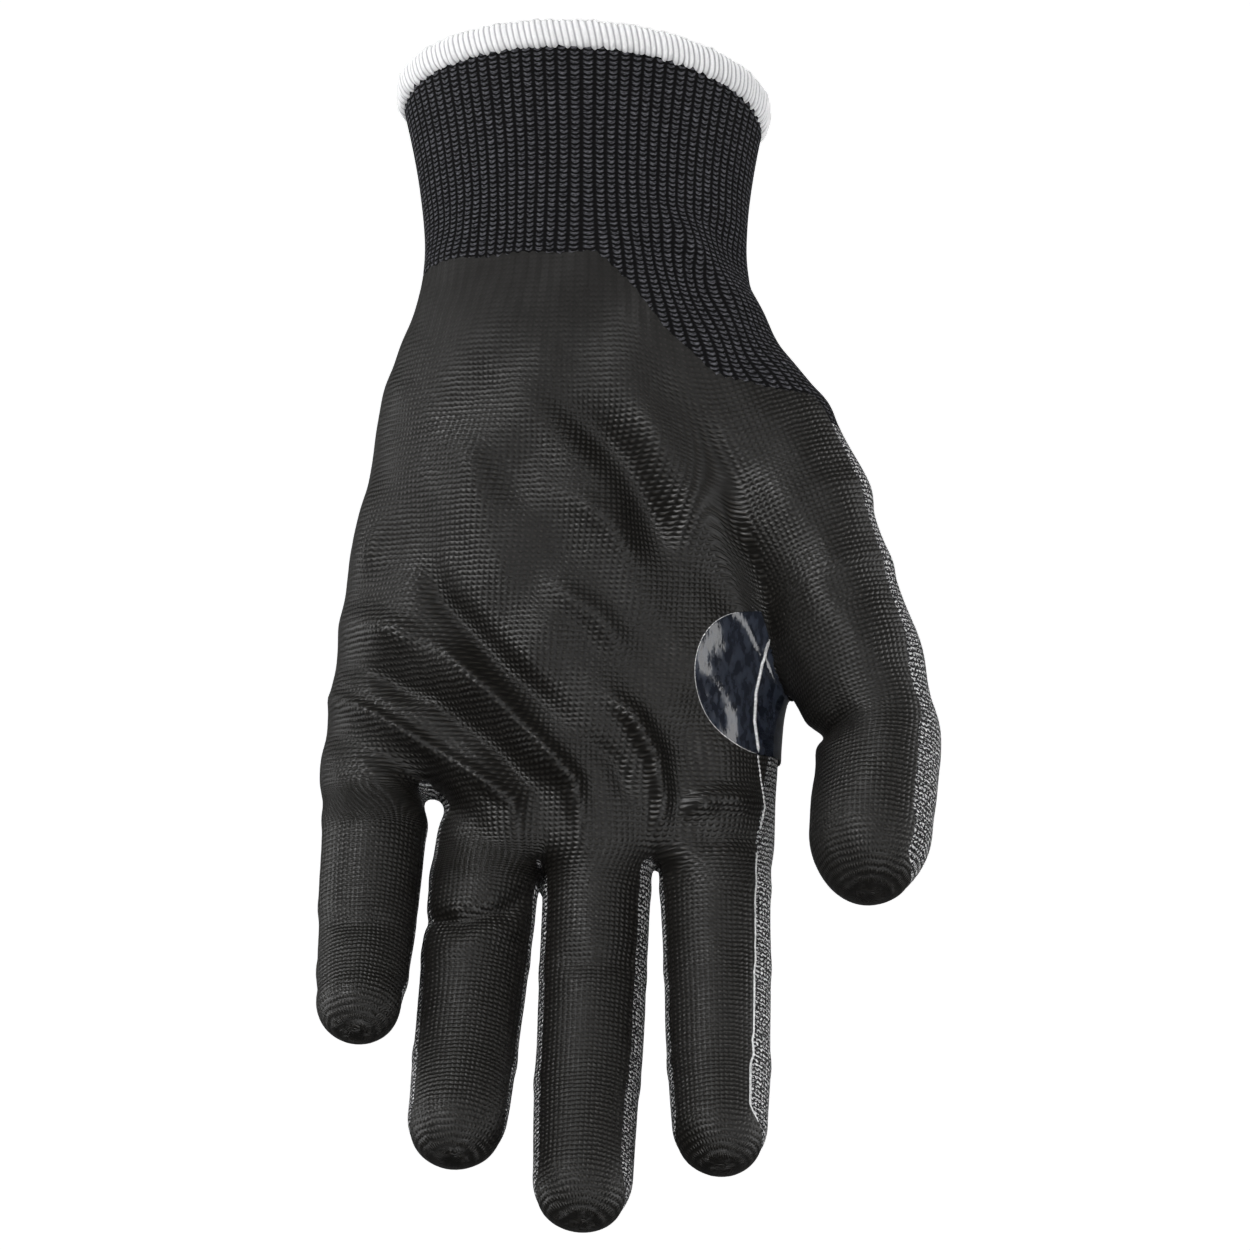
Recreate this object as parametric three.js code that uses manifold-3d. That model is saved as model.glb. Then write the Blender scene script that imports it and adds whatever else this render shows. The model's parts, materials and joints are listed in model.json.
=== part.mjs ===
// A left-hand cut resistant glove in the shape of an open hand, fingers pointing down.
// Millimetres. +Z runs up the forearm, the palm faces -Y and the thumb is on the +X side.
// The origin is the centre of the cuff opening.
//
// A seamless knitted liner carries a thin dipped coating over the palm side, a bonded patch
// over the thumb crotch and an overlocked hem round the cuff. The liner is divided at the lines
// where it folds: the wrist, the root of each digit and the joints of each digit.

import * as THREE from 'three';
import { ParametricGeometry } from 'three/addons/geometries/ParametricGeometry.js';
import { mergeVertices } from 'three/addons/utils/BufferGeometryUtils.js';
import Module from 'manifold-3d';

const wasm = await Module();
wasm.setup();

const { degToRad, lerp, clamp } = THREE.MathUtils;

// Driving dimensions: layers

const LINER = 1.6;            // wall of the knitted liner
const COAT = 0.5;             // thickness of the dipped coating
const PATCH = 0.6;            // thickness of the thumb crotch patch
const GAP = 0.3;              // clearance between two layers
const SLIT = 0.4;             // half of the slit that stays open along a fold line
const THROUGH = 8;            // how far a cutting body runs past the end that it opens
const FOLD_MARGIN = 1;        // degrees of opening left over at the end of a fold

// Driving dimensions: cuff and hem

const RIM_HALF_WIDTH = 38.4;
const RIM_HALF_DEPTH = 26;
const RIM_DROP_RIGHT = 2.4;             // the rim leans down toward the thumb side
const RIM_RISE_FRONT = 4.8;             // and stands higher over the palm side
const RIM_SADDLE = 1.4;
const RIM_SAG = 1.15;
const CUFF_WAIST = [32.8, 22];          // half width and half depth where the wrist folds
const CUFF_FLARE = 1.7;                 // the higher, the closer to the rim the cuff widens
const CUFF_SQUARENESS = 2.1;
const HEM_HEIGHT = 5.5;
const HEM_WALL = 1.2;
const HEM_BULGE = 1.22;                 // the hem's wall at mid height, as a share of HEM_WALL
const HEM_SHOULDER = 0.6;               // its crest is rounded over this height
const HEM_CREST = 0.2;                  // and stands this far above the rim
const HEM_COVER = 1.5;                  // the liner's edge stops this far below the hem's top

// Driving dimensions: wrist fold

const WRIST_Z = -37;
const WRIST_BEND = [25, 25];            // degrees back and degrees toward the palm

// Driving dimensions: hand. Each row is a cross section, from the wrist to the finger webs.

const HAND_SQUARENESS = 2.5;
const HAND_ROWS = [
  { z: -38, left: -32.6, right: 33.1, front: 22.2, back: 22 },
  { z: -47, left: -33.6, right: 34, front: 22.4, back: 21.4 },
  { z: -57, left: -38.2, right: 37.4, front: 21.6, back: 19.6 },
  { z: -68, left: -41.1, right: 40.6, front: 21, back: 17 },
  { z: -82, left: -43.6, right: 42.4, front: 20, back: 15 },
  { z: -98, left: -46.3, right: 42.6, front: 19, back: 13.6 },
  { z: -114, left: -49, right: 41.8, front: 17.6, back: 13 },
  { z: -130, left: -50.4, right: 40.4, front: 16.6, back: 12.4 },
  { z: -145, left: -51.4, right: 39, front: 15.4, back: 11.6 },
  { z: -157, left: -52, right: 37.8, front: 13.4, back: 9.6 },
  { z: -163, left: -51, right: 36.8, front: 9.4, back: 5.6 },
];
const WEB_Z = -165.5;                   // the edge of the webs between the fingers
const WEB_Y = -2;
const WEB_NARROWING = 0.04;             // the last row closes in by this share across the hand
const WEB_THINNING = 0.55;              // and by this share through it
const LITTLE_WEB_RISE = 14;             // the web beside the little finger is this much higher
const WEB_SLOPE = [-8, -32];            // x where that rise begins and where it is complete
const RISE_ROWS = [-110, -157];         // z where rows begin to follow the rise, and follow it fully

// Driving dimensions: digits. A digit's group stands at its root fold, its splay leans it toward
// the little finger side and each curl turns the next length toward the palm. Half widths and
// half depths are given at the root, at each fold and where the rounded tip begins.

const FINGER_FOLDS = [[10, 50], [10, 60], [8, 45]];
const THUMB_FOLDS = [[12, 18], [10, 30]];
const ROOT_CURL = 4;
const ROOT_REACH = 26;                  // how far a finger's root runs up into the hand
const ROOT_TAPER = 0.8;                 // its size there, as a share of its size at the fold

const FINGERS = [
  {
    name: 'little', root: [-42.2, -4, -157.5], splay: 2.5, curls: [10, 12, 10],
    lengths: [19.5, 15.5, 16], halfWidths: [10.6, 9.9, 9, 8.3], halfDepths: [9.2, 8.6, 8, 7.4],
  },
  {
    name: 'ring', root: [-20.1, -3, -169], splay: 5, curls: [7, 10, 10],
    lengths: [17, 22.5, 25.5], halfWidths: [11, 10.8, 10.3, 9.7], halfDepths: [9.8, 9.2, 8.7, 8.2],
  },
  {
    name: 'middle', root: [2.6, -3, -170.5], splay: 2.5, curls: [5, 9, 9],
    lengths: [18.5, 24, 33], halfWidths: [10.8, 10.8, 10.4, 9.8], halfDepths: [9.8, 9.3, 8.8, 8.3],
  },
  {
    name: 'index', root: [26.4, -3.5, -170.5], splay: -0.5, curls: [5, 9, 9],
    lengths: [17, 21.5, 24.5], halfWidths: [11.2, 10.7, 10.2, 9.4], halfDepths: [9.8, 9.3, 8.8, 8.2],
  },
];

const THUMB = {
  name: 'thumb', root: [53.6, -10, -123], splay: -25, roll: 55, curls: [9, 26],
  lengths: [18, 38], halfWidths: [13.5, 13.1, 13], halfDepths: [12.8, 12.2, 11.6],
};
const THUMB_MOUND = [                   // centre, half width, half depth and roll, down to the root
  { at: [13, -3, -58], across: 14, deep: 15, roll: 0 },
  { at: [24, -5, -68], across: 16, deep: 15, roll: 0 },
  { at: [35.5, -6.5, -81], across: 17, deep: 14.6, roll: 10 },
  { at: [42.8, -8, -96], across: 16.6, deep: 13.8, roll: 25 },
  { at: [48.4, -9, -109], across: 14.8, deep: 13.2, roll: 40 },
];

// Driving dimensions: coating and patch

const BEYOND = 100;                     // outside the glove on every side
const COAT_TOP = [[-BEYOND, -44], [8, -44], [44, -66], [BEYOND, -66]];   // x and z of its upper edge
const COAT_SIDE_Y = -3.1;
const PATCH_CENTRE = [35.5, -127];
const PATCH_HALF_SIZE = [14, 13.5];

// Facets

const HAND_SIDES = 24;
const CUFF_SIDES = 36;
const CUFF_ROWS = [0, 0.07, 0.15, 0.35, 0.65, 1];
const DIGIT_SIDES = 16;
const PATCH_SIDES = 24;
const COAT_STEPS = 6;                   // facets of a digit that its coating covers
const THUMB_COAT_SHIFT = -1;            // facets by which the thumb's coating is turned to the front
const TIP_DOME = 1.15;                  // length of a tip's dome, as a share of its half width
const TIP_ROUNDNESS = 0.9;
const TIP_SHOULDER = 0.4;               // rows of a tip length above this share are on its dome
const MIDDLE_ROWS = [0, 0.5, 1];
const TIP_ROWS = [0, 0.4, 0.52, 0.66, 0.8, 0.91, 1];

// Materials

const KNIT_BLACK = { color: 0x1c1c20, roughness: 0.9, metalness: 0 };
const RIB_CHARCOAL = { color: 0x23242b, roughness: 0.92, metalness: 0 };
const COATING_BLACK = { color: 0x141312, roughness: 0.45, metalness: 0 };
const PATCH_BLUE_BLACK = { color: 0x0e1420, roughness: 0.12, metalness: 0 };
const HEM_WHITE = { color: 0xe8e8e8, roughness: 0.85, metalness: 0 };

// Closed bodies from a surface that is a function of two parameters

function tidy(geometry) {
  geometry.deleteAttribute('normal');
  geometry.deleteAttribute('uv');
  const merged = mergeVertices(geometry, 1e-3);
  const old = merged.index.array;
  const kept = [];
  for (let i = 0; i < old.length; i += 3) {
    const [a, b, c] = old.slice(i, i + 3);
    if (a !== b && b !== c && c !== a) kept.push(a, b, c);
  }
  merged.setIndex(kept);
  return facingOut(merged);
}

function facingOut(geometry) {
  const index = geometry.index.array;
  const corners = [new THREE.Vector3(), new THREE.Vector3(), new THREE.Vector3()];
  let volume = 0;
  for (let i = 0; i < index.length; i += 3) {
    corners.forEach((corner, k) => corner.fromBufferAttribute(geometry.attributes.position, index[i + k]));
    volume += corners[0].dot(corners[1].clone().cross(corners[2]));
  }
  if (volume < 0) geometry.setIndex(Array.from(index).reverse());
  return geometry;
}

// rows is a list of (turn) => Vector3, joined in order; turn runs round the body.
function lofted(rows, sides) {
  const point = (u, v, target) => {
    const turn = (Math.round(u * sides) % sides) / sides;
    target.copy(rows[Math.round(v * (rows.length - 1))](turn));
  };
  return tidy(new ParametricGeometry(point, sides, rows.length - 1));
}

// A surface is (turn, along, inset) => Vector3, with along from 0 at the top to 1 at the bottom.
// A wall is open at both ends, or open at the top and closed at the bottom.
function wallOf(surface, alongs, wall, sides, closedBottom) {
  const outer = alongs.map((along) => (turn) => surface(turn, along, 0));
  const inner = [...alongs].reverse().map((along) => (turn) => surface(turn, along, wall));
  return lofted(closedBottom ? [...inner, ...outer] : [...outer, ...inner, outer[0]], sides);
}

// A layer over COAT_STEPS facets of a digit's surface, centred on its palm side and then shifted.
function layer(surface, alongs, shift, clearance, thickness, closedEnd) {
  const sides = 2 * (COAT_STEPS + 1);
  const place = (turn, along, share) => {
    const step = Math.round(turn * sides);
    const onTop = step <= COAT_STEPS;
    const facet = (onTop ? step : sides - 1 - step) - COAT_STEPS / 2 + shift;
    const height = share ?? (onTop ? 1 : 0);
    return surface(0.75 + facet / DIGIT_SIDES, along, -clearance - thickness * height);
  };
  const rows = alongs.map((along) => (turn) => place(turn, along));
  const edge = (along) => (turn) => place(turn, along, 0.5);
  const last = closedEnd ? [edge(alongs[alongs.length - 1])] : [];
  return lofted([edge(alongs[0]), ...rows, ...last], sides);
}

// Cross sections

function oval(turn, halfWidth, halfFront, halfBack, squareness) {
  const angle = turn * 2 * Math.PI;
  const power = 2 / squareness;
  const c = Math.cos(angle);
  const s = Math.sin(angle);
  const x = halfWidth * Math.sign(c) * Math.abs(c) ** power;
  const half = s < 0 ? halfFront : halfBack;
  return [x, half * Math.sign(s) * Math.abs(s) ** power];
}

// How far a fold cuts back a body's end at the depth y. The two bodies of a fold share its
// opening: the palm side opens by the bend toward the palm, the back by the bend away from it,
// and curl is the angle at which the fold already stands.
function foldCut(y, [away, toPalm], curl) {
  const opening = y < 0 ? toPalm + curl : away - curl;
  return SLIT + Math.abs(y) * Math.tan(degToRad((opening + FOLD_MARGIN) / 2));
}

// Cuff and hem

function rimZ(turn) {
  const angle = turn * 2 * Math.PI;
  const tilt = -RIM_DROP_RIGHT * Math.cos(angle) - RIM_RISE_FRONT * Math.sin(angle);
  return tilt - RIM_SAG - RIM_SADDLE * Math.cos(2 * angle);
}

function cuffSurface(turn, along, inset) {
  const flare = (1 - along) ** CUFF_FLARE;
  const halfWidth = lerp(CUFF_WAIST[0], RIM_HALF_WIDTH, flare) - inset;
  const halfDepth = lerp(CUFF_WAIST[1], RIM_HALF_DEPTH, flare) - inset;
  const [x, y] = oval(turn, halfWidth, halfDepth, halfDepth, CUFF_SQUARENESS);
  const top = rimZ(turn) - HEM_COVER;
  const bottom = WRIST_Z + foldCut(y, WRIST_BEND, 0);
  return new THREE.Vector3(x, y, lerp(top, bottom, along));
}

// The hem is a channel that wraps over the liner's edge: height below its top, then inset.
const HEM_PROFILE = [
  [HEM_HEIGHT, -GAP], [HEM_HEIGHT, -GAP - HEM_WALL], [HEM_HEIGHT / 2, -GAP - HEM_WALL * HEM_BULGE],
  [HEM_SHOULDER, -GAP - HEM_WALL], [-HEM_CREST, LINER / 2], [HEM_SHOULDER, LINER + GAP + HEM_WALL],
  [HEM_HEIGHT / 2, LINER + GAP + HEM_WALL * HEM_BULGE], [HEM_HEIGHT, LINER + GAP + HEM_WALL],
  [HEM_HEIGHT, LINER + GAP], [HEM_COVER - GAP, LINER + GAP], [HEM_COVER - GAP, -GAP],
];

function hemGeometry() {
  const rows = HEM_PROFILE.map(([below, inset]) => (turn) => {
    const cuffHeight = cuffSurface(turn, 0, 0).z - cuffSurface(turn, 1, 0).z;
    const along = Math.max(0, (below - HEM_COVER) / cuffHeight);
    return cuffSurface(turn, along, inset).setZ(rimZ(turn) - below);
  });
  return lofted([...rows, rows[0]], CUFF_SIDES);
}

// Hand: the palm, the finger roots and the thumb mound, all with the same inset

function webRise(x, z) {
  const across = clamp((WEB_SLOPE[0] - x) / (WEB_SLOPE[0] - WEB_SLOPE[1]), 0, 1);
  const down = clamp((RISE_ROWS[0] - z) / (RISE_ROWS[0] - RISE_ROWS[1]), 0, 1);
  return LITTLE_WEB_RISE * across * down;
}

function palmBody(inset, openTop) {
  const rows = HAND_ROWS.map((row, i) => (turn) => {
    const halfWidth = (row.right - row.left) / 2 - inset;
    const [x, y] = oval(turn, halfWidth, row.front - inset, row.back - inset, HAND_SQUARENESS);
    const point = new THREE.Vector3(x + (row.right + row.left) / 2, y, row.z);
    point.z += webRise(point.x, row.z);
    if (i === 0) point.z = WRIST_Z - foldCut(y, WRIST_BEND, 0);
    return point;
  });
  const last = HAND_ROWS[HAND_ROWS.length - 1];
  const web = (turn) => {
    const point = rows[rows.length - 1](turn);
    point.x = lerp(point.x, (last.left + last.right) / 2, WEB_NARROWING);
    point.y = lerp(point.y, WEB_Y, WEB_THINNING);
    point.z = WEB_Z + inset + webRise(point.x, WEB_Z);
    return point;
  };
  const crease = (turn) => web(turn).setY(WEB_Y);
  const above = (turn) => rows[0](turn).setZ(WRIST_Z + THROUGH);
  const lid = (turn) => rows[0](turn).setY(0).setZ(openTop ? WRIST_Z + THROUGH : WRIST_Z - SLIT);
  return lofted([lid, ...(openTop ? [above] : []), ...rows, web, crease], HAND_SIDES);
}

function digitFrame(digit, curl) {
  const spin = new THREE.Euler(0, degToRad(digit.splay), degToRad(-(digit.roll ?? 0)), 'YZX');
  const turn = new THREE.Quaternion().setFromEuler(spin);
  turn.multiply(new THREE.Quaternion().setFromAxisAngle(new THREE.Vector3(1, 0, 0), degToRad(-curl)));
  return { position: new THREE.Vector3(...digit.root), turn };
}

// The rows that end a digit's root in the hand, at its fold and, for an open end, beyond it.
function rootEnd(digit, folds, inset, openEnd) {
  const { position, turn } = digitFrame(digit, digit.roll ? 0 : ROOT_CURL);
  const row = (height) => (u) => {
    const halfDepth = digit.halfDepths[0] - inset;
    const [x, y] = oval(u, digit.halfWidths[0] - inset, halfDepth, halfDepth, 2);
    return new THREE.Vector3(x, y, height(y)).applyQuaternion(turn).add(position);
  };
  const atFold = row((y) => foldCut(y, folds[0], digit.curls[0]));
  return openEnd ? [atFold, row(() => -THROUGH)] : [atFold];
}

function fingerRootBody(digit, inset, openEnd) {
  const { position, turn } = digitFrame(digit, ROOT_CURL);
  const halfWidth = digit.halfWidths[0] * ROOT_TAPER - inset;
  const halfDepth = digit.halfDepths[0] * ROOT_TAPER - inset;
  const start = (u) => {
    const [x, y] = oval(u, halfWidth, halfDepth, halfDepth, 2);
    return new THREE.Vector3(x, y, ROOT_REACH).applyQuaternion(turn).add(position);
  };
  return closedLoft([start, ...rootEnd(digit, FINGER_FOLDS, inset, openEnd)], DIGIT_SIDES);
}

function thumbMoundBody(inset, openEnd) {
  const rows = THUMB_MOUND.map((row) => (u) => {
    const [x, y] = oval(u, row.across - inset, row.deep - inset, row.deep - inset, 2);
    const spin = new THREE.Euler(0, degToRad(THUMB.splay), degToRad(-row.roll), 'YZX');
    return new THREE.Vector3(x, y, 0).applyEuler(spin).add(new THREE.Vector3(...row.at));
  });
  return closedLoft([...rows, ...rootEnd(THUMB, THUMB_FOLDS, inset, openEnd)], DIGIT_SIDES);
}

// A fold cuts an end along two planes that meet on its hinge line, so a fan from the middle of
// that line closes the end exactly.
function closedLoft(rows, sides) {
  const middle = (row) => () => row(0).add(row(0.5)).multiplyScalar(0.5);
  return lofted([middle(rows[0]), ...rows, middle(rows[rows.length - 1])], sides);
}

function solid(geometry) {
  const mesh = new wasm.Mesh({
    numProp: 3,
    vertProperties: new Float32Array(geometry.attributes.position.array),
    triVerts: new Uint32Array(geometry.index.array),
  });
  return new wasm.Manifold(mesh);
}

function geometryOf(manifold) {
  const mesh = manifold.getMesh();
  const geometry = new THREE.BufferGeometry();
  geometry.setAttribute('position', new THREE.BufferAttribute(mesh.vertProperties, 3));
  geometry.setIndex(new THREE.BufferAttribute(mesh.triVerts, 1));
  return geometry;
}

function handSolid(inset, openEnds) {
  const pieces = FINGERS.map((finger) => fingerRootBody(finger, inset, openEnds));
  pieces.push(thumbMoundBody(inset, openEnds));
  return pieces.reduce((whole, piece) => whole.add(solid(piece)), solid(palmBody(inset, openEnds)));
}

// Cutting a skin can leave slivers beside the piece that is wanted.
function largest(manifold) {
  const pieces = manifold.decompose();
  return pieces.reduce((best, piece) => (piece.volume() > best.volume() ? piece : best));
}

function prism(outline, depthFrom, depthTo) {
  const shape = new THREE.Shape(outline);
  const geometry = new THREE.ExtrudeGeometry(shape, { depth: depthTo - depthFrom, bevelEnabled: false });
  geometry.rotateX(Math.PI / 2);
  geometry.translate(0, depthTo, 0);
  return solid(tidy(geometry));
}

function palmCoatingGeometry() {
  const bottom = WEB_Z - ROOT_REACH;
  const outline = [...COAT_TOP, [BEYOND, bottom], [-BEYOND, bottom]];
  const region = prism(outline.map(([x, z]) => new THREE.Vector2(x, z)), -BEYOND, COAT_SIDE_Y);
  const skin = handSolid(-GAP - COAT, false).subtract(handSolid(-GAP, true));
  return geometryOf(largest(skin.intersect(region)));
}

function patchGeometry() {
  const oval2d = new THREE.EllipseCurve(...PATCH_CENTRE, ...PATCH_HALF_SIZE);
  const region = prism(oval2d.getPoints(PATCH_SIDES).slice(0, -1), -BEYOND, BEYOND);
  const under = COAT + 2 * GAP;
  const skin = solid(palmBody(-under - PATCH, false)).subtract(solid(palmBody(-under, true)));
  const mound = solid(thumbMoundBody(-under, true));
  return geometryOf(largest(skin.intersect(region).subtract(mound)));
}

// Digits

// The surface of one length of a digit, in its own frame: its upper fold is the origin, it runs
// down to -length, and the last length of a digit ends in a rounded tip.
function lengthSurface(digit, folds, index) {
  const length = digit.lengths[index];
  const isTip = index === digit.lengths.length - 1;
  const widths = digit.halfWidths.slice(index, index + 2);
  const depths = digit.halfDepths.slice(index, index + 2);
  const dome = isTip ? widths[1] * TIP_DOME : 0;
  return (turn, along, inset) => {
    const straight = isTip ? Math.min(along / TIP_SHOULDER, 1) : along;
    const halfWidth = lerp(...widths, straight) - inset;
    const halfDepth = lerp(...depths, straight) - inset;
    const overTip = isTip ? Math.max(0, (along - TIP_SHOULDER) / (1 - TIP_SHOULDER)) : 0;
    const ring = Math.cos(overTip * Math.PI / 2) ** TIP_ROUNDNESS;
    const [x, y] = oval(turn, halfWidth, halfDepth, halfDepth, 2);
    const top = -foldCut(y, folds[index], digit.curls[index]);
    const bottom = isTip ? dome - length : foldCut(y, folds[index + 1], digit.curls[index + 1]) - length;
    const beyond = Math.sin(overTip * Math.PI / 2) * (dome - inset);
    const squeeze = overTip === 1 ? 0 : ring;
    return new THREE.Vector3(x * squeeze, y * squeeze, lerp(top, bottom, straight) - beyond);
  };
}

function named(name, geometry, look) {
  geometry.computeVertexNormals();
  const mesh = new THREE.Mesh(geometry, new THREE.MeshStandardMaterial(look));
  mesh.name = name;
  return mesh;
}

function digitGroup(digit, folds, partNames, coatShift) {
  const rootFrame = digitFrame(digit, digit.roll ? 0 : ROOT_CURL);
  const whole = new THREE.Group();
  whole.position.copy(rootFrame.position);
  whole.quaternion.copy(rootFrame.turn);
  let joint = whole;
  partNames.forEach((part, index) => {
    const bent = new THREE.Group();
    if (index > 0) bent.position.z = -digit.lengths[index - 1];
    bent.rotation.x = degToRad(-digit.curls[index]);
    joint.add(bent);
    joint = bent;

    const surface = lengthSurface(digit, folds, index);
    const isTip = index === partNames.length - 1;
    const alongs = isTip ? TIP_ROWS : MIDDLE_ROWS;
    const prefix = `${digit.name}_${part}`;
    const knit = wallOf(surface, alongs, LINER, DIGIT_SIDES, isTip);
    const coating = layer(surface, alongs, coatShift, GAP, COAT, !isTip);
    bent.add(named(`${prefix}_knit`, knit, KNIT_BLACK));
    bent.add(named(`${prefix}_coating`, coating, COATING_BLACK));
  });
  return whole;
}

// Assembly

const glove = new THREE.Group();

const cuff = new THREE.Group();
cuff.add(named('hem_overlock', hemGeometry(), HEM_WHITE));
cuff.add(named('cuff_knit', wallOf(cuffSurface, CUFF_ROWS, LINER, CUFF_SIDES, false), RIB_CHARCOAL));
glove.add(cuff);

const hand = new THREE.Group();
const handShell = handSolid(0, false).subtract(handSolid(LINER, true));
hand.add(named('hand_knit', geometryOf(largest(handShell)), KNIT_BLACK));
hand.add(named('palm_coating', palmCoatingGeometry(), COATING_BLACK));
hand.add(named('crotch_patch', patchGeometry(), PATCH_BLUE_BLACK));
FINGERS.forEach((finger) => {
  hand.add(digitGroup(finger, FINGER_FOLDS, ['proximal', 'middle', 'distal'], 0));
});
hand.add(digitGroup(THUMB, THUMB_FOLDS, ['proximal', 'distal'], THUMB_COAT_SHIFT));
glove.add(hand);

export default glove;
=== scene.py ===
"""A cut resistant glove: knitted liner, rib cuff, overlocked hem, dipped coating and crotch patch.

The cloth is one smooth skin, found where a distance field is zero, and cut into pieces at the
places where the CAD bodies are stiff. Lengths are millimetres until a mesh is made.
"""

import json
import math

import bpy
import numpy as np
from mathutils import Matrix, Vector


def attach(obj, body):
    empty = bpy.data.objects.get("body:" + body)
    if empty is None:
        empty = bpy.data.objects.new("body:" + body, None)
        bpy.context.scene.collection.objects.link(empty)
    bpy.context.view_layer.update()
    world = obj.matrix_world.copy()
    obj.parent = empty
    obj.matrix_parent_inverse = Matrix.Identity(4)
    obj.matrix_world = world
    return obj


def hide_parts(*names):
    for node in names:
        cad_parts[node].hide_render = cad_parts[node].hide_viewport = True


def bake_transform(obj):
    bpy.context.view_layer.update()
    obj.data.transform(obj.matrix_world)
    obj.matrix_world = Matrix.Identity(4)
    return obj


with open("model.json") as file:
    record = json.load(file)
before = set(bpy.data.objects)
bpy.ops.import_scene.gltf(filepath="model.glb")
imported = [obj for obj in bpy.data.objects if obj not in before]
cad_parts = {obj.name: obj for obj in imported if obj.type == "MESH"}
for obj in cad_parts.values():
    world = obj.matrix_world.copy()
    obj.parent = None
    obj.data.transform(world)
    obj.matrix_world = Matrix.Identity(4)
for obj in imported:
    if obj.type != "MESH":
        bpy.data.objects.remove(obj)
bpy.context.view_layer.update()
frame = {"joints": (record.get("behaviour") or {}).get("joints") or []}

MM = 0.001
TAU = 2 * math.pi

# Cloth layers

LINER = 1.2
COAT_BASE = 0.05
COAT_TOP = 0.36
PATCH_BASE = 0.40
PATCH_TOP = 0.64

# Knit

COURSE = 1.03
HAND_WALES = 240
DIGIT_WALES = {"little": 60, "ring": 60, "middle": 60, "index": 60, "thumb": 80}
ROOT_MERGE = (8.0, 10.0)  # the palm's counts turn into a finger's from here, over this much
THUMB_MERGE = 5.0
RIBS = 85
RIB_COLUMNS = 6
RIB_ROWS = 130
RIB_COURSE = 1.01
RIB_RELIEF = 0.34
RIB_LIFT = (0.03, 0.06)  # over the skin everywhere, and added where the rib is bare
RIB_INSET = (0.05, 0.15)  # past the liner's inside everywhere, and added between the ribs
RIB_COATED = (-1.5, 0.5)  # coating mask over which the relief fades
RIB_FADE = 5.0
RIB_ROUNDS = 12
RIB_SLOPE_STEP = 0.5
RIB_BELOW_RIM = 1.5
RIB_END = -71.0
RIB_DROP = 6.0  # the ribs run this much further down on the thumb side

# Sections of the palm and cuff: z, left, right, front, back, squareness

SECTIONS = np.array(
    [
        (12, -39.3, 39.3, 26.7, 26.7, 2.1),
        (-2, -38.4, 38.4, 26.0, 26.0, 2.1),
        (-8, -36.9, 36.9, 24.9, 24.9, 2.1),
        (-14, -35.6, 35.6, 24.0, 24.0, 2.1),
        (-20, -34.5, 34.5, 23.2, 23.2, 2.1),
        (-28, -33.4, 33.4, 22.4, 22.4, 2.15),
        (-37, -32.7, 32.9, 22.0, 22.0, 2.25),
        (-47, -33.8, 34.2, 22.4, 21.4, 2.4),
        (-57, -38.0, 37.4, 21.6, 19.6, 2.5),
        (-68, -41.1, 40.6, 21.0, 17.0, 2.5),
        (-82, -43.6, 42.4, 20.0, 15.0, 2.5),
        (-98, -46.3, 42.6, 19.0, 13.6, 2.5),
        (-114, -49.0, 41.8, 17.6, 13.0, 2.5),
        (-130, -50.4, 40.4, 16.6, 12.4, 2.5),
        (-145, -51.4, 39.0, 15.4, 11.6, 2.5),
        (-157, -52.0, 38.0, 13.4, 9.8, 2.5),
        (-163, -51.5, 37.4, 12.2, 8.0, 2.5),
        (-180, -51.5, 37.4, 12.0, 7.4, 2.5),
    ]
)
SECTION_STEP = 0.5
SECTION_SOFTNESS = 2.5
WEB_Z = -165.0
WEB_SOFTNESS = 5.0
LITTLE_WEB_RISE = 14.0
WEB_SLOPE = (-8.0, -32.0)  # x over which the web rises towards the little finger
RISE_ROWS = (-110.0, -157.0)  # z over which the palm takes up that rise

# Rim of the cuff

RIM_HALF_WIDTH = 38.4
RIM_HALF_DEPTH = 26.0
RIM_DROP_RIGHT = 2.4
RIM_RISE_FRONT = 4.8
RIM_DROP_BACK = 1.6
RIM_SADDLE = 1.4
RIM_SAG = 1.15

# Digits: half widths and half depths at the root, each fold and the tip; and how far the last
# length reaches past its fold, and the degrees it curls

DIGITS = {
    "little": dict(widths=(10.6, 9.9, 9.0, 8.3), depths=(9.2, 8.6, 8.0, 7.4), last=(16.0, 10)),
    "ring": dict(widths=(11.0, 10.8, 10.3, 9.7), depths=(9.8, 9.2, 8.7, 8.2), last=(25.5, 10)),
    "middle": dict(widths=(10.8, 10.8, 10.4, 9.8), depths=(9.8, 9.3, 8.8, 8.3), last=(33.0, 9)),
    "index": dict(widths=(11.2, 10.7, 10.2, 9.4), depths=(9.8, 9.3, 8.8, 8.2), last=(24.5, 9)),
    "thumb": dict(widths=(13.5, 13.1, 13.0), depths=(12.8, 12.2, 11.6), last=(38.0, 26)),
}
FINGER_PARTS = ("proximal", "middle", "distal")
THUMB_PARTS = ("proximal", "distal")
ROOT_REACH = 26.0
ROOT_TAPER = 0.8
TIP_DOME = 1.15
THUMB_SPLAY = -25.0
THUMB_MOUND = [
    # centre, half width, half depth and roll
    ((13, -3, -58), 14.0, 15.0, 0),
    ((24, -5, -68), 16.0, 15.0, 0),
    ((35.5, -6.5, -81), 17.0, 14.6, 10),
    ((42.8, -8, -96), 16.6, 13.8, 25),
    ((48.4, -9, -109), 14.8, 13.2, 40),
]
MOUND_START = 2  # the thumb's own courses are counted from this station
MOUND_SOFTNESS = 9.0
ROOT_SOFTNESS = 5.0
KNUCKLE_SOFTNESS = 0.7

# Where a piece starts and stops turning, before and after each fold

FINGER_SPANS = [(4.5, 9.0), (7.3, 7.3), (7.0, 7.0)]
THUMB_SPANS = [(5.5, 5.0), (7.0, 7.0)]

# Folds of the palm: points (x, z), height and half width

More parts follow.
